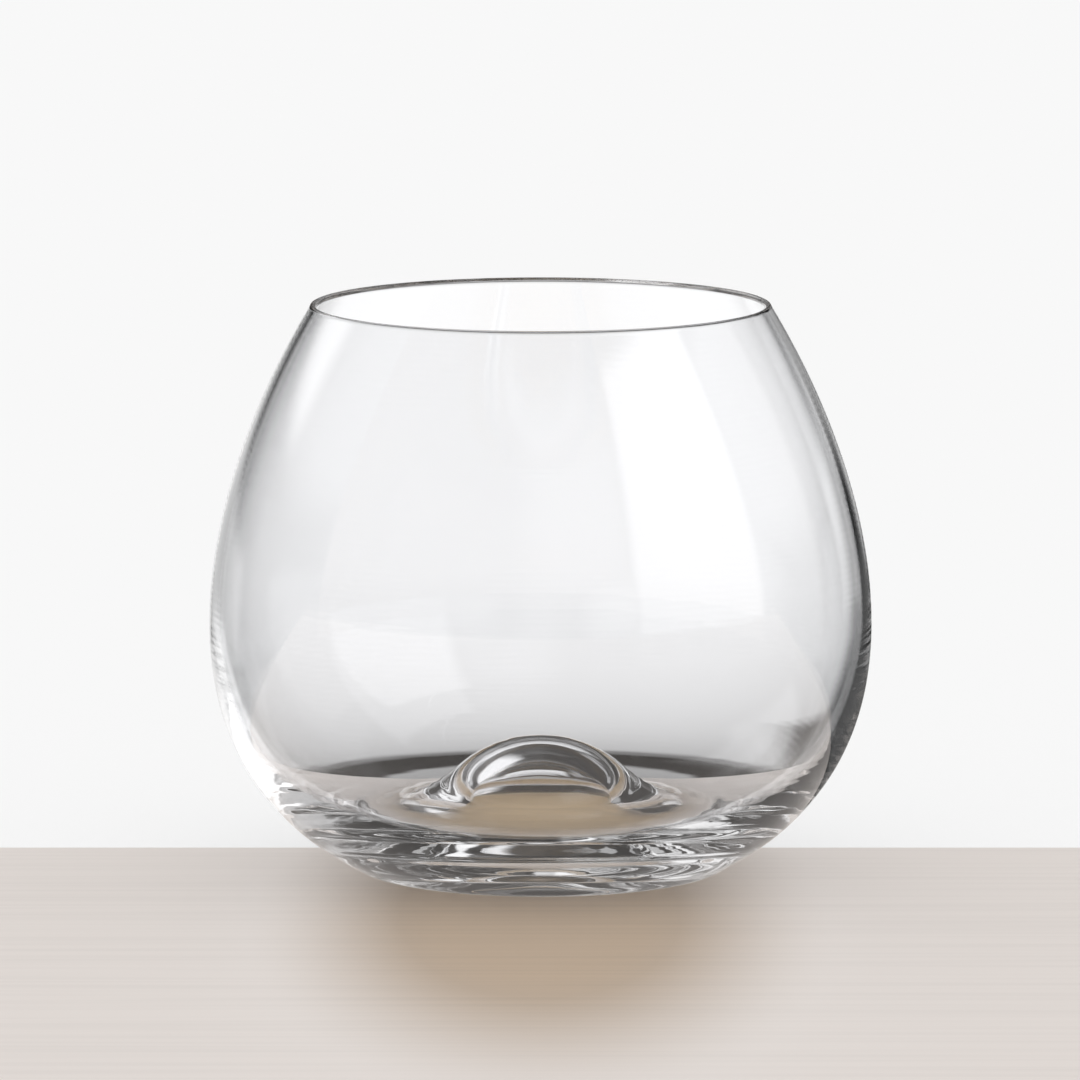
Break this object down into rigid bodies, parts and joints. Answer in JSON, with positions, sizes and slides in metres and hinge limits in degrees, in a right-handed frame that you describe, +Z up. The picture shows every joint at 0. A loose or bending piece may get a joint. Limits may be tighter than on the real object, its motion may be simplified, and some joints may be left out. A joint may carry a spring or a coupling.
{
  "type": "stemless snifter glass",
  "caption": "Stemless brandy snifter in clear glass: a wide rounded bowl that narrows to a thin lip, on a heavy base with a dome in the floor.",
  "frame": {"origin": "centre of the base, on the surface that the glass stands on", "axes": "+Z up along the axis of the glass, towards its mouth; the glass is round, so +X and +Y are any two level directions"},
  "size_m": [0.095, 0.095, 0.0815],
  "materials": {
    "clear_glass": "fire-polished, colourless"
  },
  "bodies": {
    "root": {"base": "clear_glass", "bowl": "clear_glass"}
  },
  "joints": []
}
